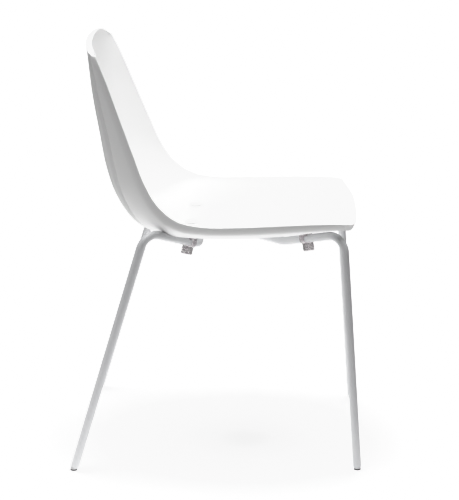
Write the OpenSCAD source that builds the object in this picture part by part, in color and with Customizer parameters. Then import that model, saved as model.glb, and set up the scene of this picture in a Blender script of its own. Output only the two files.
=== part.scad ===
// Stacking chair: a one-piece moulded seat shell on a four-leg frame of round tube.
// The origin is on the floor under the middle of the chair. +Z is up, the seat faces -Y,
// and +X is the sitter's left when seated.

/* [Shell] */
// Widest point of the seat shell
seat_w = 451; // [420:1:480]
// Height of the seat's lowest point above the floor
seat_h = 446; // [440:1:470]
// Height of the backrest's top edge above the seat's lowest point
back_h = 356; // [330:1:385]
// Wall thickness of the seat in the middle
seat_t = 7; // [6:0.5:9]
// Extra thickness of the seat towards its sides
seat_side_t = 5; // [0:0.5:6]
// Height of the raised middle panel of the back above the creases beside it
panel_t = 6; // [4:0.5:7]
// Half width of the raised middle panel of the back, at its lower end
panel_half_w = 137; // [120:1:145]
// Thickness of the lip along the top edge
lip_t = 11; // [8:0.5:12]

/* [Frame] */
// Outer diameter of the leg tube
tube_d = 16; // [15:0.5:18]
// Wall thickness of the leg tube
tube_wall = 1.5; // [1.2:0.1:2]
// Distance between the rear feet
rear_feet_w = 500; // [490:1:520]
// Distance between the front feet
front_feet_w = 430; // [420:1:450]
// Distance from the front feet to the rear feet
feet_depth = 538; // [520:1:550]
// Radius of the bends at the top of the legs
shoulder_r = 30; // [26:1:36]

/* [Mounting bars] */
// Width of the flat bars that carry the shell
bar_w = 25; // [20:1:30]
// Thickness of the flat bars
bar_t = 3; // [2.5:0.5:3]
// Distance between the centre lines of the two bars
bar_spacing = 150; // [140:1:160]

/* [Fasteners] */
// Thread diameter of the seat screws
screw_d = 6; // [5:1:6]
// Length of the seat screws under the head
screw_l = 12; // [10:0.5:13]

/* [Feet and clips] */
// Wall thickness of a stacking clip round the tube
clip_wall = 2.5; // [2:0.5:3]
// Length of a stacking clip's foot block along the tube
clip_l = 20; // [16:1:24]
// Diameter of a glide where it leaves the tube
glide_d = 13.5; // [12:0.5:15]

/* [Hidden] */
$fn = 48;

shell_color = [0.95, 0.95, 0.945];
frame_color = [0.88, 0.88, 0.875];
clip_color = [0.90, 0.86, 0.90, 0.5];
glide_color = [0.82, 0.82, 0.82];
sole_color = [0.08, 0.08, 0.08];
steel_color = [0.70, 0.70, 0.72];
brass_color = [0.80, 0.65, 0.30];

// ---- Seat shell ----
// Each station is a cross-section of the face that the sitter touches, from the front edge
// to the top: middle y and z, side edge y and z, half width, and how late the section
// curls up towards its edge (the exponent of its curve).
// Heights are above the seat's lowest point, at a nominal width of 451 and height of 356.
STATIONS = [
  [-261,  15, -256,  22, 205, 2.8],
  [-240,  18, -230,  32, 209, 3.2],
  [-190,  11, -180,  33, 213, 4.0],
  [-120,   4, -115,  31, 219, 5.2],
  [ -40,   0,  -45,  28, 223.5, 6.0],
  [  40,   0,   22,  27, 225.5, 6.0],
  [ 112,   1,   74,  36, 223.5, 5.0],
  [ 162,  15.5, 112, 63, 217, 3.8],
  [ 195.6, 56.8, 138, 103, 208.5, 3.3],
  [ 215.5, 108.3, 160, 156, 197.5, 3.0],
  [ 228, 172, 186, 221, 184.5, 2.9],
  [ 241, 247, 211, 284, 172, 2.9],
  [ 248, 317, 232, 331, 162.5, 2.8],
  [ 249, 355.5, 243, 358, 155, 2.8]
];
nominal_w = 451;
nominal_h = 356;
// How far the plan outline is drawn in at the front and top corners, and how suddenly
front_pull = 14;
top_pull = 17;
front_pull_power = 22;
top_pull_power = 16;
// Bulge of the front and top edges in the middle
front_bow = 7;
top_bow = 11;
corner_power = 7;
// The raised panel of the back: the wall at the crease, the rise of the wings beyond it,
// the width of the panel's round shoulder, and how much the panel narrows towards the top
crease_t = 4;
wing_t = 4;
wing_power = 0.7;
shoulder_w = 9;
panel_taper = 0.18;
// The edge: a small round rim, then a band that slants out to the full thickness. Along
// the front and the top the band is narrower than along the sides.
rim_r = 0.8;
band_w = 11;
band_power = 1.7;
end_scale = 1.8;
// Grid of the shell, from the side edge to the middle and from the front edge to the top
edge_steps = [0, rim_r, 3.6, 6.8, band_w];
wing_cells = 5;
shoulder_cells = 3;
middle_cells = 5;
cells_a = 2 * (len(edge_steps) - 1 + wing_cells + shoulder_cells + middle_cells);
cells_b = 62;
shell_run = 900;

function spline(p0, p1, p2, p3, t) =
  0.5 * (2 * p1 + (p2 - p0) * t + (2 * p0 - 5 * p1 + 4 * p2 - p3) * t * t
    + (3 * p1 - p0 - 3 * p2 + p3) * t * t * t);

function station(b) =
  let (
    n = len(STATIONS) - 1,
    i = min(max(floor(b * n), 0), n - 1),
    p1 = STATIONS[i],
    p2 = STATIONS[i + 1],
    p0 = i > 0 ? STATIONS[i - 1] : 2 * p1 - p2,
    p3 = i + 2 <= n ? STATIONS[i + 2] : 2 * p2 - p1
  )
  spline(p0, p1, p2, p3, b * n - i);

// Smooth step from 0 at x = lo to 1 at x = hi
function ease(lo, hi, x) =
  let (u = min(max((x - lo) / (hi - lo), 0), 1))
  u * u * (3 - 2 * u);

// Point of the sitter's face before its corners are drawn in; a runs from -1 to 1 across
function plain_point(a, b) =
  let (s = station(b), g = pow(abs(a), s[5]))
  [
    a * s[4] * seat_w / nominal_w,
    s[0] + (s[2] - s[0]) * g,
    seat_h + (s[1] + (s[3] - s[1]) * g) * back_h / nominal_h
  ];

function unit(v) = v / norm(v);

function run_dir(a, b) =
  unit(plain_point(a, min(b + 0.004, 1)) - plain_point(a, max(b - 0.004, 0)));

// Normal that points away from the sitter
function outward(a, b) =
  unit(cross(
    run_dir(a, b),
    plain_point(min(a + 0.004, 1), b) - plain_point(max(a - 0.004, -1), b)
  ));

function face_point(a, b) =
  let (
    p = plain_point(a, b),
    wf = pow(1 - b, front_pull_power),
    wt = pow(b, top_pull_power),
    c = pow(abs(a), corner_power),
    run = wf * (front_pull * c + front_bow * a * a) - wt * (top_pull * c + top_bow * a * a)
  )
  p - [a * (wf * front_pull + wt * top_pull), 0, 0] + run * run_dir(a, b);

function half_width(b) = station(b)[4] * seat_w / nominal_w;

function crease_x(b) = panel_half_w * (1 - panel_taper * ease(0.70, 1, b));

// Thickness of the wall. On the back, the middle panel is raised and ends at a crease with
// a round shoulder, and the two wings rise again beyond it.
function wall(a, b) =
  let (
    half = half_width(b),
    x = abs(a) * half,
    crease = crease_x(b),
    back = ease(0.42, 0.60, b),
    wing = min(max((x - crease) / max(half - crease, 1), 0), 1),
    shoulder = min(max((x - crease) / shoulder_w + 1, 0), 1),
    panel = crease_t + panel_t * (1 - shoulder * shoulder),
    beyond = crease_t + wing_t * sin(90 * pow(wing, wing_power)),
    back_t = x < crease ? panel : beyond,
    pan_t = seat_t + seat_side_t * ease(0.35, 0.70, abs(a)),
    body_t = pan_t + (back_t - pan_t) * back,
    lip = ease(0.978, 0.997, b)
  )
  body_t + (lip_t - body_t) * lip;

// Point of the sitter's face (side -1) or of the outer skin (side 1)
function skin_point(a, b, side) =
  let (
    to_end = min(b, 1 - b) * shell_run * end_scale,
    d = min((1 - abs(a)) * half_width(b), to_end),
    near = max(1 - d / rim_r, 0),
    rim = rim_r * (1 - sqrt(max(1 - near * near, 0))),
    slant = 1 - pow(max(1 - d / band_w, 0), band_power),
    offset = side < 0 ? rim : 2 * rim_r - rim + (wall(a, b) - 2 * rim_r) * slant
  )
  face_point(a, b) + outward(a, b) * offset;

// Distance across, from 0 at the middle to 1 at the side edge, k grid steps in from the edge
function across(k, b) =
  let (
    half = half_width(b),
    edge_cells = len(edge_steps) - 1,
    band = 1 - band_w / half,
    crease = crease_x(b) / half,
    shoulder = (crease_x(b) - shoulder_w) / half,
    at_crease = edge_cells + wing_cells,
    at_shoulder = at_crease + shoulder_cells
  )
  k <= edge_cells ? 1 - edge_steps[k] / half
    : k <= at_crease ? crease + (band - crease) * pow((at_crease - k) / wing_cells, 1.6)
    : k <= at_shoulder ? shoulder + (crease - shoulder) * (at_shoulder - k) / shoulder_cells
    : shoulder * (at_shoulder + middle_cells - k) / middle_cells;

function grid_a(i, b) =
  i <= cells_a / 2 ? -across(i, b) : across(cells_a - i, b);

// Distance along the run, from 0 at the front edge to 1 at the top, j grid steps in
function grid_b(j) =
  let (
    edge_cells = len(edge_steps) - 1,
    last = edge_steps[edge_cells] / shell_run / end_scale,
    inner = cells_b - 2 * edge_cells
  )
  j <= edge_cells ? edge_steps[j] / shell_run / end_scale
    : j >= cells_b - edge_cells ? 1 - edge_steps[cells_b - j] / shell_run / end_scale
    : last + (1 - 2 * last) * (j - edge_cells) / inner;

function grid_point(i, j, side) =
  let (b = grid_b(j))
  skin_point(grid_a(i, b), b, side);

// The two skins share the points of the rim
rim_rows = cells_b + 1;
face_count = (cells_a + 1) * rim_rows;

function face_index(i, j) = i * rim_rows + j;

function back_index(i, j) =
  i == 0 || i == cells_a || j == 0 || j == cells_b
    ? face_index(i, j)
    : face_count + (i - 1) * (cells_b - 1) + j - 1;

// Two triangles of one cell; turned swaps the diagonal, so that none joins two rim points
function cell(p, q, r, s, turned) =
  turned ? [[p, q, s], [q, r, s]] : [[p, q, r], [p, r, s]];

function is_turned(i, j) = (i < cells_a / 2) != (j < cells_b / 2);

module shell_skin() {
  face_points = [
    for (i = [0:cells_a], j = [0:cells_b]) grid_point(i, j, -1)
  ];
  back_points = [
    for (i = [1:cells_a - 1], j = [1:cells_b - 1]) grid_point(i, j, 1)
  ];
  face_cells = [
    for (i = [0:cells_a - 1], j = [0:cells_b - 1])
      each cell(
        face_index(i, j), face_index(i, j + 1), face_index(i + 1, j + 1), face_index(i + 1, j),
        is_turned(i, j)
      )
  ];
  back_cells = [
    for (i = [0:cells_a - 1], j = [0:cells_b - 1])
      each cell(
        back_index(i, j), back_index(i + 1, j), back_index(i + 1, j + 1), back_index(i, j + 1),
        is_turned(i, j)
      )
  ];
  polyhedron(
    points = concat(face_points, back_points),
    faces = concat(face_cells, back_cells),
    convexity = 6
  );
}

// ---- Frame layout, right side of the chair (negative X is mirrored) ----
bar_top = seat_h - 15;
tube_r = tube_d / 2;
arm_z = bar_top - bar_t - tube_r;
foot_gap = 6;
rear_path = [
  [rear_feet_w / 2, feet_depth / 2, foot_gap],
  [rear_feet_w / 2 - 23, feet_depth / 2 - 133, arm_z + 42],
  [140, 41, arm_z],
  [-140, 41, arm_z],
  [23 - rear_feet_w / 2, feet_depth / 2 - 133, arm_z + 42],
  [-rear_feet_w / 2, feet_depth / 2, foot_gap]
];
rear_bends = [0, shoulder_r, 45, 45, shoulder_r, 0];
front_path = [
  [front_feet_w / 2, -feet_depth / 2, foot_gap],
  [front_feet_w / 2 - 20, 36 - feet_depth / 2, arm_z + 37],
  [105, -120, arm_z],
  [0, -13, arm_z],
  [-105, -120, arm_z],
  [20 - front_feet_w / 2, 36 - feet_depth / 2, arm_z + 37],
  [-front_feet_w / 2, -feet_depth / 2, foot_gap]
];
front_bends = [0, shoulder_r, 60, 55, 60, shoulder_r, 0];

// ---- Tube bending ----
// A bend swells the tube very slightly, and each straight stretch reaches a little into it
bend_swell = 0.05;
joint_reach = 0.8;

// Turns +Z to the direction d and moves the origin to p
module along(p, d) {
  u = unit(d);
  translate(p)
    rotate([0, acos(u[2]), atan2(u[1], u[0])])
      children();
}

// Frame with the given x and z directions and its origin at p
module frame_at(p, x, z) {
  y = cross(z, x);
  multmatrix([
    [x[0], y[0], z[0], p[0]],
    [x[1], y[1], z[1], p[1]],
    [x[2], y[2], z[2], p[2]],
    [0, 0, 0, 1]
  ])
    children();
}

function ahead(path, i) = unit(path[i + 1] - path[i]);

// Angle that a path turns through at corner i
function corner_turn(path, i) = acos(ahead(path, i - 1) * ahead(path, i));

// Distance from corner i to the end of the straight stretch beside it
function setback(path, radii, i) =
  i == 0 || i == len(path) - 1
    ? 0
    : radii[i] * tan(corner_turn(path, i) / 2) - joint_reach;

module stretch(path, radii, i, rod_r) {
  start = path[i] + ahead(path, i) * setback(path, radii, i);
  end = path[i + 1] - ahead(path, i) * setback(path, radii, i + 1);
  along(start, end - start)
    cylinder(r = rod_r, h = norm(end - start));
}

module bend(path, radii, i, rod_r) {
  before = ahead(path, i - 1);
  after = ahead(path, i);
  turn = corner_turn(path, i);
  inward = unit(after - before * (before * after));
  start = path[i] - before * radii[i] * tan(turn / 2);
  frame_at(start + inward * radii[i], -inward, unit(cross(before, after)))
    rotate_extrude(angle = turn, $fn = 60)
      translate([radii[i], 0])
        circle(r = rod_r + bend_swell, $fn = 32);
}

// Rod along a path, with a bend of the given radius at each inner corner
module rod(path, radii, rod_r) {
  for (i = [0:len(path) - 2])
    stretch(path, radii, i, rod_r);
  for (i = [1:len(path) - 2])
    bend(path, radii, i, rod_r);
}

// The same path with both ends moved outward by a little, for a cut right through
function stretched(path, extra) =
  let (n = len(path) - 1)
  [
    for (i = [0:n])
      i == 0
        ? path[0] - ahead(path, 0) * extra
        : i == n ? path[n] + ahead(path, n - 1) * extra : path[i]
  ];

module tube_run(path, radii) {
  difference() {
    rod(path, radii, tube_r);
    rod(stretched(path, 1), radii, tube_r - tube_wall);
  }
}

module rear_leg_tube() {
  color(frame_color)
    tube_run(rear_path, rear_bends);
}

module front_leg_tube() {
  color(frame_color)
    tube_run(front_path, front_bends);
}

// ---- Mounting bars and fasteners ----
bar_front_y = -130;
bar_rear_y = 72;
screw_front_y = -115;
screw_rear_y = 57;
boss_d = 19;
insert_d = 9;
insert_l = 7.5;
insert_recess = 0.5;
washer_d = 13;
washer_t = 1.6;
screw_clearance = 0.3;
head_d = 10.5;
head_h = 3.3;
socket_w = 4;
socket_deep = 2;

module at_screw(side, y) {
  translate([side * bar_spacing / 2, y, 0])
    children();
}

module mounting_bar(side) {
  color(frame_color)
    difference() {
      translate([side * bar_spacing / 2 - bar_w / 2, bar_front_y, bar_top - bar_t])
        cube([bar_w, bar_rear_y - bar_front_y, bar_t]);
      for (y = [screw_front_y, screw_rear_y])
        at_screw(side, y)
          translate([0, 0, bar_top - bar_t - 1])
            cylinder(d = screw_d + 2 * screw_clearance, h = bar_t + 2);
    }
}

module mounting_bar_left() { mounting_bar(1); }
module mounting_bar_right() { mounting_bar(-1); }

module threaded_insert(side, y) {
  color(brass_color)
    at_screw(side, y)
      translate([0, 0, bar_top + insert_recess])
        difference() {
          union() {
            cylinder(d = insert_d, h = insert_l);
            cylinder(d = insert_d + 2, h = 1);
          }
          translate([0, 0, -1])
            cylinder(d = screw_d + 0.1, h = insert_l + 2);
        }
}

module washer(side, y) {
  color(steel_color)
    at_screw(side, y)
      translate([0, 0, bar_top - bar_t - washer_t])
        difference() {
          cylinder(d = washer_d, h = washer_t);
          translate([0, 0, -1])
            cylinder(d = screw_d + 2 * screw_clearance, h = washer_t + 2);
        }
}

// Button-head screw with a hexagon socket, driven from below
module seat_screw(side, y) {
  head_top = bar_top - bar_t - washer_t;
  color(steel_color)
    at_screw(side, y)
      difference() {
        union() {
          translate([0, 0, head_top - 1])
            cylinder(d = screw_d, h = screw_l + 1);
          translate([0, 0, head_top - head_h])
            rotate_extrude()
              polygon([
                [0, 0], [head_d / 2 - 2, 0], [head_d / 2 - 0.6, 1.2], [head_d / 2, 2.4],
                [head_d / 2, head_h], [0, head_h]
              ]);
        }
        translate([0, 0, head_top - head_h - 1])
          cylinder(d = socket_w / cos(30), h = socket_deep + 1, $fn = 6);
      }
}

module insert_front_left() { threaded_insert(1, screw_front_y); }
module insert_front_right() { threaded_insert(-1, screw_front_y); }
module insert_rear_left() { threaded_insert(1, screw_rear_y); }
module insert_rear_right() { threaded_insert(-1, screw_rear_y); }

module screw_front_left() { seat_screw(1, screw_front_y); }
module screw_front_right() { seat_screw(-1, screw_front_y); }
module screw_rear_left() { seat_screw(1, screw_rear_y); }
module screw_rear_right() { seat_screw(-1, screw_rear_y); }

module washer_front_left() { washer(1, screw_front_y); }
module washer_front_right() { washer(-1, screw_front_y); }
module washer_rear_left() { washer(1, screw_rear_y); }
module washer_rear_right() { washer(-1, screw_rear_y); }

// The bosses reach from the shell down to the bars, and hold the inserts
boss_front_h = 15;
boss_rear_h = 11;

module seat_shell() {
  color(shell_color)
    difference() {
      union() {
        shell_skin();
        for (side = [-1, 1], row = [[screw_front_y, boss_front_h], [screw_rear_y, boss_rear_h]])
          at_screw(side, row[0])
            translate([0, 0, bar_top])
              cylinder(d = boss_d, h = row[1]);
      }
      for (side = [-1, 1], y = [screw_front_y, screw_rear_y])
        at_screw(side, y)
          translate([0, 0, bar_top - 1]) {
            cylinder(d = insert_d + 0.1, h = insert_l + insert_recess + 1.1);
            cylinder(d = insert_d + 2.1, h = insert_recess + 2.1);
          }
    }
}

// ---- Stacking clips ----
clip_ring_l = 9;
clip_end = 5;
clip_block_w = 10;
clip_block_h = 16;
clip_tab_l = 17;
clip_tab_w = 3.6;
clip_tab_t = 2.4;
clip_mouth = 0.7;
clip_gap = 0.15;

// A clip snaps over an arm from below. Its open ring is at the inner end, with a tab along
// each lip, and its foot block runs outward under the tube, where it rests on the arm of
// the chair below.
module stacking_clip(path, share) {
  outer = path[1];
  inner = path[2];
  color(clip_color)
    clip_frame(outer + (inner - outer) * share, inner - outer)
      clip_body();
}

// Frame with x along the arm towards the inner end, z up and square to the arm
module clip_frame(p, d) {
  x = unit(d);
  y = unit(cross([0, 0, 1], x));
  frame_at(p, x, cross(x, y))
    children();
}

module clip_profile_cut() {
  circle(r = tube_r + clip_gap);
}

module clip_body() {
  ring_r = tube_r + clip_wall;
  mouth = tube_r * clip_mouth;
  tab_z = tube_r - clip_tab_t + 0.5;
  recess_z = -tube_r - clip_block_h / 2 - 1;
  difference() {
    union() {
      translate([clip_end - clip_ring_l, 0, 0])
        rotate([90, 0, 90])
          linear_extrude(height = clip_ring_l)
            difference() {
              circle(r = ring_r);
              translate([-mouth, tube_r * 0.4])
                square([2 * mouth, ring_r]);
            }
      for (side = [-1, 1])
        translate([clip_end - clip_tab_l, side * (mouth + clip_tab_w / 2) - clip_tab_w / 2, tab_z])
          cube([clip_tab_l, clip_tab_w, clip_tab_t]);
      translate([clip_end - clip_l, -clip_block_w / 2, -tube_r - clip_block_h])
        difference() {
          cube([clip_l, clip_block_w, clip_block_h + 4]);
          clip_chamfers();
        }
    }
    translate([-clip_l - 1, 0, 0])
      rotate([90, 0, 90])
        linear_extrude(height = 2 * clip_l + 2)
          clip_profile_cut();
    for (side = [-1, 1])
      translate([clip_end - clip_l / 2 - 2, side * clip_block_w / 2, recess_z])
        rotate([90, 0, 0])
          cylinder(r = 3.5, h = 5, center = true);
  }
}

// Bevels along the bottom edges of the foot block
module clip_chamfers() {
  for (y = [0, clip_block_w])
    translate([clip_l / 2, y, 0])
      rotate([45, 0, 0])
        cube([clip_l + 2, 2.5, 2.5], center = true);
}

module clip_front_left() { stacking_clip(front_path, 0.635); }
module clip_front_right() { mirror([1, 0, 0]) clip_front_left(); }
module clip_rear_left() { stacking_clip(rear_path, 0.86); }
module clip_rear_right() { mirror([1, 0, 0]) clip_rear_left(); }

// ---- Glides ----
glide_plug_l = 20;
glide_end_d = 13;
sole_h = 2.8;
sole_d = 12.4;
plug_clearance = 0.05;

// Where the centre line of a leg meets the floor
function floor_point(path) =
  let (d = path[0] - path[1])
  path[0] - d * path[0][2] / d[2];

// The plug sits in the tube, and the body tapers from the tube's end to the sole
module glide(path) {
  color(glide_color)
    union() {
      hull() {
        along(path[0], path[0] - path[1])
          cylinder(d = glide_d, h = 0.5);
        translate(floor_point(path) + [0, 0, sole_h])
          cylinder(d = glide_end_d, h = 0.5);
      }
      along(path[0], path[1] - path[0])
        translate([0, 0, -0.2])
          cylinder(r = tube_r - tube_wall - plug_clearance, h = glide_plug_l);
    }
}

module sole(path) {
  color(sole_color)
    translate(floor_point(path))
      cylinder(d1 = sole_d, d2 = glide_end_d, h = sole_h);
}

module glide_front_left() { glide(front_path); }
module glide_front_right() { mirror([1, 0, 0]) glide(front_path); }
module glide_rear_left() { glide(rear_path); }
module glide_rear_right() { mirror([1, 0, 0]) glide(rear_path); }

module sole_front_left() { sole(front_path); }
module sole_front_right() { mirror([1, 0, 0]) sole(front_path); }
module sole_rear_left() { sole(rear_path); }
module sole_rear_right() { mirror([1, 0, 0]) sole(rear_path); }

seat_shell();
rear_leg_tube();
front_leg_tube();
mounting_bar_left();
mounting_bar_right();
insert_front_left();
insert_front_right();
insert_rear_left();
insert_rear_right();
screw_front_left();
screw_front_right();
screw_rear_left();
screw_rear_right();
washer_front_left();
washer_front_right();
washer_rear_left();
washer_rear_right();
clip_front_left();
clip_front_right();
clip_rear_left();
clip_rear_right();
glide_front_left();
glide_front_right();
glide_rear_left();
glide_rear_right();
sole_front_left();
sole_front_right();
sole_rear_left();
sole_rear_right();
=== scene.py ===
import math

import bpy
import numpy as np
from mathutils import Matrix, Vector


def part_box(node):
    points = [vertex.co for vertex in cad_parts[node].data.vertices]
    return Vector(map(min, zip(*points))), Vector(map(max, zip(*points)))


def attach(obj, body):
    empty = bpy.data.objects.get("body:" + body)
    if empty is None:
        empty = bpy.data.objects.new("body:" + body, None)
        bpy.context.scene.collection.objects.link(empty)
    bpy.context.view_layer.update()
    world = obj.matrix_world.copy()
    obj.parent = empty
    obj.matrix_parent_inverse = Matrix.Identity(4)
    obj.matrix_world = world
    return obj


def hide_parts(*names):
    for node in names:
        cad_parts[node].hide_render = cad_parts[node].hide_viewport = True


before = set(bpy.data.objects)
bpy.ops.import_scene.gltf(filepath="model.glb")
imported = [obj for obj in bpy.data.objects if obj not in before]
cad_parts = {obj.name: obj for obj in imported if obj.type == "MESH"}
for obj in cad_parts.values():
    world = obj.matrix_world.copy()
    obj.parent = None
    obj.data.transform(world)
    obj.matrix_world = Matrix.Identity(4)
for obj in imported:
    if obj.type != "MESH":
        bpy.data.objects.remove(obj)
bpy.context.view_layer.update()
scene = bpy.context.scene
MM = 0.001


# ---------------------------------------------------------------- camera

CAMERA_AT = (-3.697402, -0.134553, 1.317564)
CAMERA_YAW = 1.8732
CAMERA_DOWN = 14.3175
CAMERA_ROLL = 0.5659
CAMERA_LENS = 139.022


def make_camera():
    """Camera at the near side of the chair, a little above it."""
    yaw, down, roll = (math.radians(v) for v in (CAMERA_YAW, CAMERA_DOWN, CAMERA_ROLL))
    ahead = Vector((math.cos(down) * math.cos(yaw), math.cos(down) * math.sin(yaw), -math.sin(down)))
    right = ahead.cross(Vector((0, 0, 1))).normalized()
    up = right.cross(ahead)
    turned_right = math.cos(roll) * right + math.sin(roll) * up
    turned_up = -math.sin(roll) * right + math.cos(roll) * up
    data = bpy.data.cameras.new("camera")
    data.lens = CAMERA_LENS
    data.sensor_width = 36
    data.clip_start, data.clip_end = 0.05, 60
    camera = bpy.data.objects.new("camera", data)
    scene.collection.objects.link(camera)
    rotation = Matrix((turned_right, turned_up, -ahead)).transposed().to_4x4()
    camera.matrix_world = Matrix.Translation(CAMERA_AT) @ rotation
    scene.camera = camera


make_camera()


# ---------------------------------------------------------------- node helpers

def new_material(name):
    material = bpy.data.materials.new(name)
    material.use_nodes = True
    nodes, links = material.node_tree.nodes, material.node_tree.links
    nodes.clear()
    out = nodes.new("ShaderNodeOutputMaterial")
    shader = nodes.new("ShaderNodeBsdfPrincipled")
    links.new(shader.outputs["BSDF"], out.inputs["Surface"])
    return material, nodes, links, shader


def noise(nodes, links, coords, scale, detail=2.0, roughness=0.5):
    node = nodes.new("ShaderNodeTexNoise")
    node.inputs["Scale"].default_value = scale
    node.inputs["Detail"].default_value = detail
    node.inputs["Roughness"].default_value = roughness
    links.new(coords, node.inputs["Vector"])
    return node.outputs["Fac"]


def ramp(nodes, links, factor, stops):
    """Colour ramp with stops of (position, grey or colour)."""
    node = nodes.new("ShaderNodeValToRGB")
    elements = node.color_ramp.elements
    while len(elements) < len(stops):
        elements.new(0.5)
    for element, (position, colour) in zip(elements, stops):
        element.position = position
        rgb = (colour,) * 3 if isinstance(colour, (int, float)) else colour
        element.color = (*rgb, 1)
    links.new(factor, node.inputs["Fac"])
    return node.outputs["Color"]


def to_range(nodes, links, value, low, high, start=0.0, end=1.0):
    node = nodes.new("ShaderNodeMapRange")
    node.inputs["From Min"].default_value = start
    node.inputs["From Max"].default_value = end
    node.inputs["To Min"].default_value = low
    node.inputs["To Max"].default_value = high
    links.new(value, node.inputs["Value"])
    return node.outputs["Result"]


def bump(nodes, links, shader, height, distance, strength=1.0, under=None):
    node = nodes.new("ShaderNodeBump")
    node.inputs["Distance"].default_value = distance
    node.inputs["Strength"].default_value = strength
    links.new(height, node.inputs["Height"])
    if under is not None:
        links.new(under, node.inputs["Normal"])
    links.new(node.outputs["Normal"], shader.inputs["Normal"])
    return node.outputs["Normal"]


def object_coords(nodes):
    return nodes.new("ShaderNodeTexCoord").outputs["Object"]


# ---------------------------------------------------------------- materials

def moulded_plastic():
    """Fine-grained white polypropylene: a satin grain, faint flow marks, and slightly uneven gloss."""
    material, nodes, links, shader = new_material("moulded_plastic")
    coords = object_coords(nodes)
    flow = noise(nodes, links, coords, 3.5, 3, 0.55)
    links.new(
        ramp(nodes, links, flow, [(0.3, (0.895, 0.895, 0.893)), (0.7, (0.915, 0.915, 0.913))]),
        shader.inputs["Base Color"],
    )
    patches = noise(nodes, links, coords, 9, 4, 0.6)
    links.new(to_range(nodes, links, patches, 0.40, 0.50, 0.3, 0.7), shader.inputs["Roughness"])
    swell = noise(nodes, links, coords, 14, 2, 0.5)
    under = bump(nodes, links, shader, swell, 0.0006, 0.25)
    grain = noise(nodes, links, coords, 1500, 3, 0.6)
    bump(nodes, links, shader, grain, 0.00005, 0.35, under)
    shader.inputs["IOR"].default_value = 1.49
    return material


def powder_coat():
    """Pale grey powder coat with a fine orange-peel texture."""
    material, nodes, links, shader = new_material("powder_coat")
    coords = object_coords(nodes)
    tint = noise(nodes, links, coords, 22, 3, 0.6)
    links.new(
        ramp(nodes, links, tint, [(0.3, (0.725, 0.73, 0.745)), (0.7, (0.765, 0.77, 0.78))]),
        shader.inputs["Base Color"],
    )
    peel = noise(nodes, links, coords, 420, 2, 0.45)
    links.new(to_range(nodes, links, peel, 0.30, 0.42, 0.3, 0.7), shader.inputs["Roughness"])
    under = bump(nodes, links, shader, peel, 0.00012, 0.5)
    fine = noise(nodes, links, coords, 1700, 2, 0.5)
    bump(nodes, links, shader, fine, 0.00004, 0.4, under)
    shader.inputs["IOR"].default_value = 1.5
    return material


def clear_plastic():
    """Clear flexible plastic, faintly pink, with moulding haze."""
    material, nodes, links, shader = new_material("clear_plastic")
    coords = object_coords(nodes)
    haze = noise(nodes, links, coords, 140, 3, 0.6)
    links.new(
        ramp(nodes, links, haze, [
            (0.34, (0.55, 0.49, 0.54)), (0.46, (0.96, 0.91, 0.93)), (0.60, (1.0, 0.98, 0.98)),
        ]),
        shader.inputs["Base Color"],
    )
    links.new(to_range(nodes, links, haze, 0.06, 0.26, 0.25, 0.75), shader.inputs["Roughness"])
    ripple = noise(nodes, links, coords, 260, 2, 0.5)
    bump(nodes, links, shader, ripple, 0.0002, 0.35)
    shader.inputs["Transmission Weight"].default_value = 0.86
    shader.inputs["IOR"].default_value = 1.46
    return material


def glide_plastic():
    """Light grey nylon with a faint grain."""
    material, nodes, links, shader = new_material("glide_plastic")
    coords = object_coords(nodes)
    tint = noise(nodes, links, coords, 160, 3, 0.6)
    links.new(
        ramp(nodes, links, tint, [(0.3, (0.60, 0.60, 0.61)), (0.7, (0.67, 0.67, 0.67))]),
        shader.inputs["Base Color"],
    )
    links.new(to_range(nodes, links, tint, 0.38, 0.55), shader.inputs["Roughness"])
    grain = noise(nodes, links, coords, 2200, 2, 0.5)
    bump(nodes, links, shader, grain, 0.00004, 0.4)
    shader.inputs["IOR"].default_value = 1.52
    return material


def sole_rubber():
    """Black rubber with faint scuffs."""
    material, nodes, links, shader = new_material("sole_rubber")
    coords = object_coords(nodes)
    scuff = noise(nodes, links, coords, 700, 4, 0.65)
    links.new(
        ramp(nodes, links, scuff, [(0.42, (0.010, 0.010, 0.010)), (0.74, (0.035, 0.034, 0.033))]),
        shader.inputs["Base Color"],
    )
    links.new(to_range(nodes, links, scuff, 0.55, 0.85), shader.inputs["Roughness"])
    bump(nodes, links, shader, scuff, 0.0001, 0.5)
    return material


def zinc_steel():
    """Bright, slightly cloudy zinc plating."""
    material, nodes, links, shader = new_material("zinc_steel")
    coords = object_coords(nodes)
    cloud = noise(nodes, links, coords, 300, 4, 0.6)
    links.new(
        ramp(nodes, links, cloud, [(0.3, (0.56, 0.57, 0.60)), (0.7, (0.72, 0.72, 0.73))]),
        shader.inputs["Base Color"],
    )
    links.new(to_range(nodes, links, cloud, 0.22, 0.42), shader.inputs["Roughness"])
    bump(nodes, links, shader, noise(nodes, links, coords, 1800, 2, 0.5), 0.00003, 0.5)
    shader.inputs["Metallic"].default_value = 1.0
    return material


def brass():
    """Slightly uneven brass of the threaded inserts."""
    material, nodes, links, shader = new_material("brass")
    coords = object_coords(nodes)
    cloud = noise(nodes, links, coords, 420, 3, 0.6)
    links.new(
        ramp(nodes, links, cloud, [(0.3, (0.62, 0.44, 0.17)), (0.7, (0.78, 0.60, 0.27))]),
        shader.inputs["Base Color"],
    )
    links.new(to_range(nodes, links, cloud, 0.25, 0.45), shader.inputs["Roughness"])
    bump(nodes, links, shader, noise(nodes, links, coords, 1600, 2, 0.5), 0.00004, 0.5)
    shader.inputs["Metallic"].default_value = 1.0
    return material


MATERIALS = {
    "shell_plastic": moulded_plastic(),
    "powder_coat": powder_coat(),
    "clear_clip": clear_plastic(),
    "glide_plastic": glide_plastic(),
    "sole_rubber": sole_rubber(),
    "zinc_steel": zinc_steel(),
    "brass_insert": brass(),
}


# ---------------------------------------------------------------- mesh helpers

# Edges that turn by more than this many degrees are shaded sharp
CRISP_EDGE = 38
TUBE_EDGE = 50
BEAD_EDGE = 60


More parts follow.
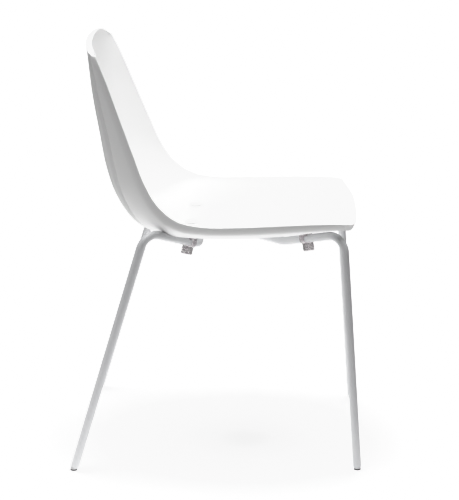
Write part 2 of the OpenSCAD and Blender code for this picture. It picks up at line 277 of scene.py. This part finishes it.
def add_piece(name, verts, faces, slot, replaced=(), sharp_angle=None):
    """New piece in millimetres; it rides on the root body and takes the slot's material."""
    mesh = bpy.data.meshes.new(name)
    mesh.from_pydata((np.asarray(verts, float) * MM).tolist(), [], [list(f) for f in faces])
    mesh.validate()
    mesh.polygons.foreach_set("use_smooth", [True] * len(mesh.polygons))
    if sharp_angle is not None:
        mesh.set_sharp_from_angle(angle=math.radians(sharp_angle))
    mesh.update()
    piece = bpy.data.objects.new(name, mesh)
    scene.collection.objects.link(piece)
    mesh.materials.append(MATERIALS[slot])
    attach(piece, "root")
    if replaced:
        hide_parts(*replaced)
    return piece


def unit(v):
    v = np.asarray(v, float)
    return v / np.linalg.norm(v, axis=-1, keepdims=True)


# ---------------------------------------------------------------- seat shell

# Cross-sections of the sitter's face, front edge to top: middle y and z, side edge y and z,
# half width, exponent of the curl towards the edge. Heights are above the seat's lowest point.
STATIONS = np.array([
    (-261, 15, -256, 22, 205, 2.8),
    (-240, 18, -230, 32, 209, 3.2),
    (-190, 11, -180, 33, 213, 4.0),
    (-120, 4, -115, 31, 219, 5.2),
    (-40, 0, -45, 28, 223.5, 6.0),
    (40, 0, 22, 27, 225.5, 6.0),
    (112, 1, 74, 36, 223.5, 5.0),
    (162, 15.5, 112, 63, 217, 3.8),
    (195.6, 56.8, 138, 103, 208.5, 3.3),
    (215.5, 108.3, 160, 156, 197.5, 3.0),
    (228, 172, 186, 221, 184.5, 2.9),
    (241, 247, 211, 284, 172, 2.9),
    (248, 317, 232, 331, 162.5, 2.8),
    (249, 355.5, 243, 358, 155, 2.8),
], float)
SEAT_H = 446
SEAT_T = 7
SEAT_SIDE_T = 5
PANEL_T = 6
PANEL_TAPER = 0.18
SHOULDER_W = 9
CREASE_T = 4
WING_T = 4
WING_POWER = 0.7
RIM_R = 0.8
BAND_W = 11
BAND_POWER = 1.7
END_SCALE = 1.8
PANEL_HALF_W = 137
LIP_T = 11
SHELL_RUN = 900
FRONT_PULL, TOP_PULL = 14, 17
FRONT_PULL_POWER, TOP_PULL_POWER = 22, 16
FRONT_BOW, TOP_BOW = 7, 11
CORNER_POWER = 7
SLOPE_STEP = 0.004
TAPER_FROM = (0.70, 1.0)
BACK_FROM = (0.42, 0.60)
SIDE_FROM = (0.35, 0.70)
LIP_FROM = (0.978, 0.997)


def station(b):
    """Catmull-Rom blend of the cross-sections at b, 0 at the front edge and 1 at the top."""
    n = len(STATIONS) - 1
    i = np.clip(np.floor(b * n).astype(int), 0, n - 1)
    t = (b * n - i)[..., None]
    padded = np.vstack([
        2 * STATIONS[0] - STATIONS[1], STATIONS, 2 * STATIONS[-1] - STATIONS[-2]
    ])
    p0, p1, p2, p3 = (padded[i + k] for k in range(4))
    return 0.5 * (
        2 * p1 + (p2 - p0) * t + (2 * p0 - 5 * p1 + 4 * p2 - p3) * t * t
        + (3 * p1 - p0 - 3 * p2 + p3) * t ** 3
    )


def ease(low, high, x):
    u = np.clip((x - low) / (high - low), 0, 1)
    return u * u * (3 - 2 * u)


def plain_point(a, b):
    s = station(b)
    g = np.abs(a) ** s[..., 5]
    return np.stack([
        a * s[..., 4],
        s[..., 0] + (s[..., 2] - s[..., 0]) * g,
        SEAT_H + s[..., 1] + (s[..., 3] - s[..., 1]) * g,
    ], -1)


def run_dir(a, b):
    after, before = np.minimum(b + SLOPE_STEP, 1), np.maximum(b - SLOPE_STEP, 0)
    return unit(plain_point(a, after) - plain_point(a, before))


def outward(a, b):
    right, left = np.minimum(a + SLOPE_STEP, 1), np.maximum(a - SLOPE_STEP, -1)
    across = plain_point(right, b) - plain_point(left, b)
    return unit(np.cross(run_dir(a, b), across))


def face_point(a, b):
    wf, wt = (1 - b) ** FRONT_PULL_POWER, b ** TOP_PULL_POWER
    c = np.abs(a) ** CORNER_POWER
    run = wf * (FRONT_PULL * c + FRONT_BOW * a * a) - wt * (TOP_PULL * c + TOP_BOW * a * a)
    drawn_in = np.zeros(a.shape + (3,))
    drawn_in[..., 0] = a * (wf * FRONT_PULL + wt * TOP_PULL)
    return plain_point(a, b) - drawn_in + run[..., None] * run_dir(a, b)


def crease_x(b):
    """Half width of the raised panel, which narrows a little towards the top."""
    return PANEL_HALF_W * (1 - PANEL_TAPER * ease(*TAPER_FROM, b))


def wall(a, b):
    """Thickness: a raised middle panel on the back that ends at a crease, and wings that swell beyond it."""
    half = station(b)[..., 4]
    x = np.abs(a) * half
    crease = crease_x(b)
    back = ease(*BACK_FROM, b)
    wing = np.clip((x - crease) / np.maximum(half - crease, 1), 0, 1)
    shoulder = np.clip((x - crease) / SHOULDER_W + 1, 0, 1)
    panel = CREASE_T + PANEL_T * (1 - shoulder ** 2)
    wing_t = CREASE_T + WING_T * np.sin(np.pi / 2 * wing ** WING_POWER)
    back_t = np.where(x < crease, panel, wing_t)
    pan = SEAT_T + SEAT_SIDE_T * ease(*SIDE_FROM, np.abs(a))
    body = pan + (back_t - pan) * back
    lip = ease(*LIP_FROM, b)
    return body + (LIP_T - body) * lip


def skin_point(a, b, side):
    """Point of the sitter's face (side -1) or the outer skin (side 1), which slants in to a narrow rim."""
    half = station(b)[..., 4]
    t = wall(a, b)
    d = np.minimum((1 - np.abs(a)) * half, np.minimum(b, 1 - b) * SHELL_RUN * END_SCALE)
    near = np.maximum(1 - d / RIM_R, 0)
    rim = RIM_R * (1 - np.sqrt(np.maximum(1 - near * near, 0)))
    slant = 1 - np.maximum(1 - d / BAND_W, 0) ** BAND_POWER
    offset = rim if side < 0 else 2 * RIM_R - rim + (t - 2 * RIM_R) * slant
    return face_point(a, b) + outward(a, b) * offset[..., None]


RIM_STEPS = 4
BAND_STEPS = 8
PANEL_STEPS = 30
WING_STEPS = 20
RUN_STEPS = 190


def rim_steps():
    """Distances from the rim that follow its small round edge and then the slanting band."""
    turn = 1 - np.cos(np.linspace(0, math.pi / 2, RIM_STEPS + 1))
    band = np.linspace(0, 1, BAND_STEPS + 1)[1:]
    return np.hstack([RIM_R * turn, RIM_R + (BAND_W - RIM_R) * band])


def shell_columns(b):
    """Positions across for each b: rim, wing, crease and middle, so that the crease lies on an edge."""
    half = station(b)[:, 4]
    rim = 1 - rim_steps()[None, :] / half[:, None]
    crease = (crease_x(b) / half)[:, None]
    wing = np.linspace(0, 1, WING_STEPS + 1)[1:-1] ** 2
    wings = crease + (rim[:, -1:] - crease) * wing[::-1][None, :]
    middle = crease * (1 - np.linspace(0, 1, PANEL_STEPS + 1)[None, :] ** 2)
    right = np.hstack([rim, wings, middle])
    return np.hstack([right, -right[:, -2::-1]])


def shell_rows():
    front = rim_steps() / (SHELL_RUN * END_SCALE)
    top = 1 - front[::-1]
    return np.hstack([front, np.linspace(front[-1], top[0], RUN_STEPS + 1)[1:-1], top])


def build_shell():
    b = shell_rows()
    a = shell_columns(b)
    bb = np.repeat(b[:, None], a.shape[1], 1)
    rows, cols = a.shape
    face = skin_point(a, bb, -1)
    back = skin_point(a, bb, 1)
    verts = [face.reshape(-1, 3)]
    back_index = -np.ones((rows, cols), int)
    inside = np.zeros((rows, cols), bool)
    inside[1:-1, 1:-1] = True
    face_index = np.arange(rows * cols).reshape(rows, cols)
    back_index[~inside] = face_index[~inside]
    back_index[inside] = rows * cols + np.arange(inside.sum())
    verts.append(back[inside])
    quads = []
    for j in range(rows - 1):
        for i in range(cols - 1):
            quads.append((
                face_index[j, i], face_index[j, i + 1], face_index[j + 1, i + 1], face_index[j + 1, i],
            ))
            quads.append((
                back_index[j, i], back_index[j + 1, i], back_index[j + 1, i + 1], back_index[j, i + 1],
            ))
    return add_piece("shell", np.vstack(verts), quads, "shell_plastic", ["seat_shell"], CRISP_EDGE)


shell = build_shell()


# ---------------------------------------------------------------- tube frame

SEAT_TO_BAR = 15
BAR_TOP = SEAT_H - SEAT_TO_BAR
BAR_T = 3
TUBE_R = 8
TUBE_WALL = 1.5
ARM_Z = BAR_TOP - BAR_T - TUBE_R
FOOT_GAP = 6
REAR_KNEE_RISE, FRONT_KNEE_RISE = 42, 37
REAR_ARM_Y = 41
REAR_PATH = [
    (250, 269, FOOT_GAP), (227, 136, ARM_Z + REAR_KNEE_RISE), (140, REAR_ARM_Y, ARM_Z),
    (-140, REAR_ARM_Y, ARM_Z), (-227, 136, ARM_Z + REAR_KNEE_RISE), (-250, 269, FOOT_GAP),
]
REAR_BENDS = [0, 30, 45, 45, 30, 0]
FRONT_PATH = [
    (215, -269, FOOT_GAP), (195, -233, ARM_Z + FRONT_KNEE_RISE), (105, -120, ARM_Z), (0, -13, ARM_Z),
    (-105, -120, ARM_Z), (-195, -233, ARM_Z + FRONT_KNEE_RISE), (-215, -269, FOOT_GAP),
]
FRONT_BENDS = [0, 30, 60, 55, 60, 30, 0]
TUBE_EDGE_R = 0.35
BORE_CHAMFER = 0.15
EDGE_DIP = 0.1


def rounded_path(corners, radii, step=12, turn_step=4):
    """Points and directions along a path whose inner corners are round."""
    corners = [np.array(p, float) for p in corners]
    points, heads = [], []
    start = corners[0]
    for i in range(1, len(corners)):
        ahead = unit(corners[i] - corners[i - 1])
        last = i == len(corners) - 1
        if last:
            end = corners[i]
        else:
            after = unit(corners[i + 1] - corners[i])
            turn = math.acos(float(ahead @ after))
            end = corners[i] - ahead * radii[i] * math.tan(turn / 2)
        count = max(2, int(np.linalg.norm(end - start) / step))
        for k in range(count + (1 if last else 0)):
            points.append(start + (end - start) * k / count)
            heads.append(ahead)
        if last:
            break
        inward = unit(after - ahead * float(ahead @ after))
        centre = end + inward * radii[i]
        count = max(4, int(math.degrees(turn) / turn_step))
        for k in range(count):
            angle = turn * k / count
            points.append(centre + radii[i] * (ahead * math.sin(angle) - inward * math.cos(angle)))
            heads.append(ahead * math.cos(angle) + inward * math.sin(angle))
        start = centre + radii[i] * (ahead * math.sin(turn) - inward * math.cos(turn))
    return np.array(points), np.array(heads)


def moving_frames(heads):
    """Two directions square to the path at each point, carried along without twist."""
    side = unit(np.cross(heads[0], (0, 0, 1.0) if abs(heads[0][2]) < 0.9 else (0, 1.0, 0)))
    sides = []
    for head in heads:
        side = unit(side - head * float(side @ head))
        sides.append(side)
    sides = np.array(sides)
    return sides, np.cross(heads, sides)


def ring_faces(a, b, count):
    """Quads between two rings of vertices that start at a and b."""
    return [(a + k, a + (k + 1) % count, b + (k + 1) % count, b + k) for k in range(count)]


def tube_mesh(corners, radii, segments=40):
    points, heads = rounded_path(corners, radii)
    u, v = moving_frames(heads)
    angles = np.linspace(0, 2 * math.pi, segments, endpoint=False)
    circle = np.cos(angles)[None, :, None] * u[:, None, :] + np.sin(angles)[None, :, None] * v[:, None, :]
    edge = TUBE_EDGE_R
    rings = []
    start, end = points[0], points[-1]
    inner_r = TUBE_R - TUBE_WALL
    rings.append(start + heads[0] * BORE_CHAMFER + circle[0] * inner_r)
    rings.append(start + circle[0] * (inner_r + edge))
    rings.append(start + circle[0] * (TUBE_R - edge))
    rings.append(start + heads[0] * EDGE_DIP + circle[0] * (TUBE_R - EDGE_DIP))
    rings.append(start + heads[0] * edge + circle[0] * TUBE_R)
    for k in range(1, len(points) - 1):
        rings.append(points[k] + circle[k] * TUBE_R)
    rings.append(end - heads[-1] * edge + circle[-1] * TUBE_R)
    rings.append(end - heads[-1] * EDGE_DIP + circle[-1] * (TUBE_R - EDGE_DIP))
    rings.append(end + circle[-1] * (TUBE_R - edge))
    rings.append(end + circle[-1] * (inner_r + edge))
    rings.append(end - heads[-1] * BORE_CHAMFER + circle[-1] * inner_r)
    for k in range(len(points) - 2, 0, -1):
        rings.append(points[k] + circle[k] * inner_r)
    verts = np.vstack(rings)
    faces = []
    count = len(rings)
    for r in range(count):
        faces += ring_faces(r * segments, ((r + 1) % count) * segments, segments)
    return verts, faces


for name, node, path, bends in [
    ("rear_tube", "rear_leg_tube", REAR_PATH, REAR_BENDS),
    ("front_tube", "front_leg_tube", FRONT_PATH, FRONT_BENDS),
]:
    tube_verts, tube_faces = tube_mesh(path, bends)
    add_piece(name, tube_verts, tube_faces, "powder_coat", [node], TUBE_EDGE)


# ---------------------------------------------------------------- bosses, welds and soles

def turned_mesh(profile, segments=48):
    """Body turned about Z from (radius, height) pairs whose first and last radius are zero."""
    rings = [p for p in profile if p[0] > 0]
    verts, faces = [], []
    for radius, height in rings:
        for i in range(segments):
            turn = 2 * math.pi * i / segments
            verts.append((radius * math.cos(turn), radius * math.sin(turn), height))
    for k in range(len(rings) - 1):
        for i in range(segments):
            j = (i + 1) % segments
            faces.append((k * segments + i, k * segments + j, (k + 1) * segments + j, (k + 1) * segments + i))
    bottom, top = len(verts), len(verts) + 1
    verts += [(0, 0, profile[0][1]), (0, 0, profile[-1][1])]
    last = (len(rings) - 1) * segments
    for i in range(segments):
        j = (i + 1) % segments
        faces.append((bottom, j, i))
        faces.append((top, last + i, last + j))
    return np.array(verts), faces


def boss_mesh(height, top_r, bore_r, bore_h, flange_r):
    """Boss that widens at its upper end, with a bore open at the bottom."""
    foot = [
        (top_r + BOSS_FILLET * (1 - math.cos(t)), height - BOSS_FILLET * (1 - math.sin(t)))
        for t in np.linspace(0, math.pi / 2, 7)
    ]
    profile = [
        (0, bore_h), (bore_r, bore_h), (bore_r, FLANGE_H), (flange_r, FLANGE_H),
        (flange_r, FLANGE_EDGE), (flange_r, 0),
        (top_r - BOSS_ROUND, 0), (top_r - 0.3 * BOSS_ROUND, 0.3 * BOSS_ROUND), (top_r, BOSS_ROUND),
    ] + foot + [(0, height)]
    return turned_mesh(profile)


BAR_X = 75
SCREW_FRONT_Y, SCREW_REAR_Y = -115, 57
BOSS_D = 19
BOSS_FILLET = 2.5
BOSS_ROUND = 0.6
FLANGE_H, FLANGE_EDGE = 1.5, 0.5
BOSS_FRONT_H, BOSS_REAR_H = 18.5, 16.5
INSERT_R, INSERT_DEPTH, FLANGE_R = 4.55, 8.1, 5.55
for end, boss_y, boss_h in [("front", SCREW_FRONT_Y, BOSS_FRONT_H), ("rear", SCREW_REAR_Y, BOSS_REAR_H)]:
    for hand, sign in [("left", 1), ("right", -1)]:
        boss_verts, boss_faces = boss_mesh(boss_h, BOSS_D / 2, INSERT_R, INSERT_DEPTH, FLANGE_R)
        boss_verts = boss_verts + (sign * BAR_X, boss_y, BAR_TOP)
        add_piece(f"boss_{end}_{hand}", boss_verts, boss_faces, "shell_plastic", (), CRISP_EDGE)


def weld_bead(at, heading, length, radius, seed):
    """Fillet weld along a bar's edge: a bead of overlapping ripples, thinner at its ends."""
    heading = unit(heading)
    side = unit(np.cross(heading, (0, 0, 1)))
    steps, segments = 40, 12
    rng = np.random.default_rng(seed)
    wander = rng.normal(0, RIPPLE_WANDER, steps + 1)
    verts, faces = [], []
    for k in range(steps + 1):
        u = k / steps
        thick = radius * (0.25 + 0.75 * math.sin(math.pi * min(max(u, 0.02), 0.98)) ** 0.4)
        thick *= 1 + RIPPLE_DEPTH * math.sin(u * length * RIPPLE_RATE) + wander[k]
        middle = np.array(at) + heading * (u - 0.5) * length
        for i in range(segments):
            turn = 2 * math.pi * i / segments
            rise = np.array((0, 0, BEAD_FLATNESS * thick * math.sin(turn)))
            verts.append(middle + side * thick * math.cos(turn) + rise)
    for k in range(steps):
        for i in range(segments):
            j = (i + 1) % segments
            faces.append((k * segments + j, k * segments + i, (k + 1) * segments + i, (k + 1) * segments + j))
    faces.append(tuple(range(segments)))
    faces.append(tuple(reversed([steps * segments + i for i in range(segments)])))
    return np.array(verts), faces


BAR_W = 25
BEAD_R, BEAD_L = 1.6, 13
BEAD_FLATNESS = 0.8
RIPPLE_DEPTH, RIPPLE_RATE, RIPPLE_WANDER = 0.10, 2.6, 0.05
BAR_UNDER = BAR_TOP - BAR_T
ARM_FRONT_Y = -89.4
for hand, sign in [("left", 1), ("right", -1)]:
    for k, edge in enumerate((-1, 1)):
        place = (sign * (BAR_X + edge * BAR_W / 2), REAR_ARM_Y, BAR_UNDER)
        bead_verts, bead_faces = weld_bead(place, (0, 1, 0), BEAD_L, BEAD_R, 11 + k)
        add_piece(f"weld_rear_{hand}_{k}", bead_verts, bead_faces, "powder_coat", (), BEAD_EDGE)
        place = (sign * (BAR_X + edge * BAR_W / 2), ARM_FRONT_Y - edge * BAR_W / 2, BAR_UNDER)
        bead_verts, bead_faces = weld_bead(place, (0, 1, 0), BEAD_L, BEAD_R, 21 + k)
        add_piece(f"weld_front_{hand}_{k}", bead_verts, bead_faces, "powder_coat", (), BEAD_EDGE)


def sole_mesh(center, radius, height):
    """Rubber sole with rounded edges."""
    r = SOLE_ROUND
    arc = [(1 - math.cos(t), 1 - math.sin(t)) for t in np.linspace(0, math.pi / 2, 6)]
    profile = [(0, 0)] + [(radius - r + r * (1 - v), r * u) for u, v in arc]
    profile += [(radius, height - SOLE_BEVEL), (radius - SOLE_BEVEL, height), (0, height)]
    verts, faces = turned_mesh(profile, 40)
    return verts + center, faces


SOLE_ROUND = 0.5
SOLE_BEVEL = 0.3
for name in [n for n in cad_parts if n.startswith("sole_")]:
    low, high = (np.array(v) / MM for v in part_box(name))
    middle = (low + high) / 2
    width, _, height = high - low
    sole_verts, sole_faces = sole_mesh((middle[0], middle[1], low[2]), width / 2, height)
    add_piece("visual_" + name, sole_verts, sole_faces, "sole_rubber", [name], CRISP_EDGE)


# ---------------------------------------------------------------- CAD nodes that stay

SLOT_OF_PREFIX = {
    "mounting_bar": "powder_coat", "insert": "brass_insert", "screw": "zinc_steel", "washer": "zinc_steel",
    "clip": "clear_clip", "glide": "glide_plastic", "sole": "sole_rubber",
}
BEVEL_ANGLE = 40
EDGE_ROUND = {"powder_coat": 0.6, "clear_clip": 0.5, "zinc_steel": 0.15}
for name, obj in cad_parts.items():
    slots = [slot for prefix, slot in SLOT_OF_PREFIX.items() if name.startswith(prefix)]
    if not slots:
        continue
    slot_name = slots[0]
    obj.data.materials.clear()
    obj.data.materials.append(MATERIALS[slot_name])
    if slot_name in EDGE_ROUND:
        edges = obj.modifiers.new("soft_edges", "BEVEL")
        edges.width = EDGE_ROUND[slot_name] * MM
        edges.segments = 2
        edges.limit_method = "ANGLE"
        edges.angle_limit = math.radians(BEVEL_ANGLE)
        edges.harden_normals = False


# ---------------------------------------------------------------- studio

# Glow and paint of the floor: as the camera sees it, and as it lights the chair
FLOOR_GLOW = 0.62
FLOOR_PAINT = 0.86
BOUNCE_GLOW = 1.58
BOUNCE_PAINT = 0.09
BOUNCE_NEAR = 0.38
BOUNCE_FAR = 1.16
BOUNCE_LEFT = 0.06
BOUNCE_AT = (-0.04, 0.25, 0.0)
FLOOR_HALF = 30


def build_floor():
    """Pale floor that is bright by itself, so that the chair's shadow on it stays light."""
    mesh = bpy.data.meshes.new("floor")
    size = FLOOR_HALF
    corners = [(-size, -size, 0), (size, -size, 0), (size, size, 0), (-size, size, 0)]
    mesh.from_pydata(corners, [], [(0, 1, 2, 3)])
    floor = bpy.data.objects.new("floor", mesh)
    scene.collection.objects.link(floor)
    material = bpy.data.materials.new("studio_floor")
    material.use_nodes = True
    nodes, links = material.node_tree.nodes, material.node_tree.links
    nodes.clear()
    out = nodes.new("ShaderNodeOutputMaterial")
    layers = []
    for glow_level, paint in ((BOUNCE_GLOW, BOUNCE_PAINT), (FLOOR_GLOW, FLOOR_PAINT)):
        add = nodes.new("ShaderNodeAddShader")
        glow = nodes.new("ShaderNodeEmission")
        glow.inputs["Strength"].default_value = glow_level
        diffuse = nodes.new("ShaderNodeBsdfDiffuse")
        diffuse.inputs["Color"].default_value = (paint, paint, paint, 1)
        if glow_level == BOUNCE_GLOW:
            reach = nodes.new("ShaderNodeVectorMath")
            reach.operation = "DISTANCE"
            links.new(nodes.new("ShaderNodeNewGeometry").outputs["Position"], reach.inputs[0])
            reach.inputs[1].default_value = BOUNCE_AT
            fade = to_range(
                nodes, links, reach.outputs["Value"], BOUNCE_GLOW, BOUNCE_GLOW * BOUNCE_LEFT,
                BOUNCE_NEAR, BOUNCE_FAR,
            )
            links.new(fade, glow.inputs["Strength"])
        links.new(glow.outputs[0], add.inputs[0])
        links.new(diffuse.outputs[0], add.inputs[1])
        layers.append(add.outputs[0])
    path = nodes.new("ShaderNodeLightPath")
    mix = nodes.new("ShaderNodeMixShader")
    links.new(path.outputs["Is Camera Ray"], mix.inputs["Fac"])
    links.new(layers[0], mix.inputs[1])
    links.new(layers[1], mix.inputs[2])
    links.new(mix.outputs[0], out.inputs["Surface"])
    mesh.materials.append(material)


SKY_SIDE = 0.01
SKY_TOP = 0.20
SKY_BACK = 0.25
SKY_FRONT = 0.02
BACKDROP = 2.0


def build_world():
    """Dim sky, brighter overhead, behind and a little in front; white where the camera sees it."""
    world = bpy.data.worlds.new("studio")
    scene.world = world
    world.use_nodes = True
    nodes, links = world.node_tree.nodes, world.node_tree.links
    nodes.clear()
    out = nodes.new("ShaderNodeOutputWorld")
    coords = nodes.new("ShaderNodeTexCoord").outputs["Generated"]
    split = nodes.new("ShaderNodeSeparateXYZ")
    links.new(coords, split.inputs[0])

    def plus(first, second):
        node = nodes.new("ShaderNodeMath")
        node.operation = "ADD"
        links.new(first, node.inputs[0])
        links.new(second, node.inputs[1])
        return node.outputs[0]

    level = to_range(nodes, links, split.outputs["Z"], SKY_SIDE, SKY_TOP, 0.0, 0.9)
    behind = nodes.new("ShaderNodeMath")
    behind.operation = "POWER"
    links.new(to_range(nodes, links, split.outputs["Y"], 0, 1, 0.0, 1.0), behind.inputs[0])
    behind.inputs[1].default_value = 2
    level = plus(level, to_range(nodes, links, behind.outputs[0], 0, SKY_BACK))
    level = plus(level, to_range(nodes, links, split.outputs["Y"], 0, SKY_FRONT, -0.1, -1.0))
    sky = nodes.new("ShaderNodeBackground")
    links.new(level, sky.inputs["Strength"])
    white = nodes.new("ShaderNodeBackground")
    white.inputs["Strength"].default_value = BACKDROP
    path = nodes.new("ShaderNodeLightPath")
    mix = nodes.new("ShaderNodeMixShader")
    links.new(path.outputs["Is Camera Ray"], mix.inputs["Fac"])
    links.new(sky.outputs[0], mix.inputs[1])
    links.new(white.outputs[0], mix.inputs[2])
    links.new(mix.outputs[0], out.inputs["Surface"])


# Scene brightness and what it shows as; the highlights are held back before they clip
TONE_WHITE = 2.0
TONE_POINTS = [
    (0.0, 0.0), (0.35, 0.70), (0.44, 0.86), (0.52, 0.925), (0.60, 0.942), (0.73, 0.95),
    (0.80, 1.0), (1.0, 1.0),
]


def set_tone():
    view = scene.view_settings
    view.view_transform = "Standard"
    view.look = "None"
    view.use_curve_mapping = True
    mapping = view.curve_mapping
    mapping.white_level = (TONE_WHITE,) * 3
    curve = mapping.curves[3]
    while len(curve.points) < len(TONE_POINTS):
        curve.points.new(0.5, 0.5)
    for point, place in zip(curve.points, TONE_POINTS):
        point.location = place
        point.handle_type = "VECTOR"
    mapping.update()


def add_sun(name, towards, strength, angle, receivers=()):
    """Sun whose light comes from the given direction, spread over a wide angle."""
    data = bpy.data.lights.new(name, "SUN")
    data.energy = strength
    data.angle = math.radians(angle)
    light = bpy.data.objects.new(name, data)
    light.rotation_mode = "QUATERNION"
    light.rotation_quaternion = Vector(towards).to_track_quat("Z", "Y")
    scene.collection.objects.link(light)
    if receivers:
        lit = bpy.data.collections.new(name + "_receivers")
        for piece in receivers:
            lit.objects.link(piece)
        light.light_linking.receiver_collection = lit


build_floor()
build_world()
add_sun("overhead", (0.10, 0.02, 1.0), 3.7, 56)
add_sun("front_fill", (0.15, -1.0, 0.75), 1.7, 60, [shell])
set_tone()
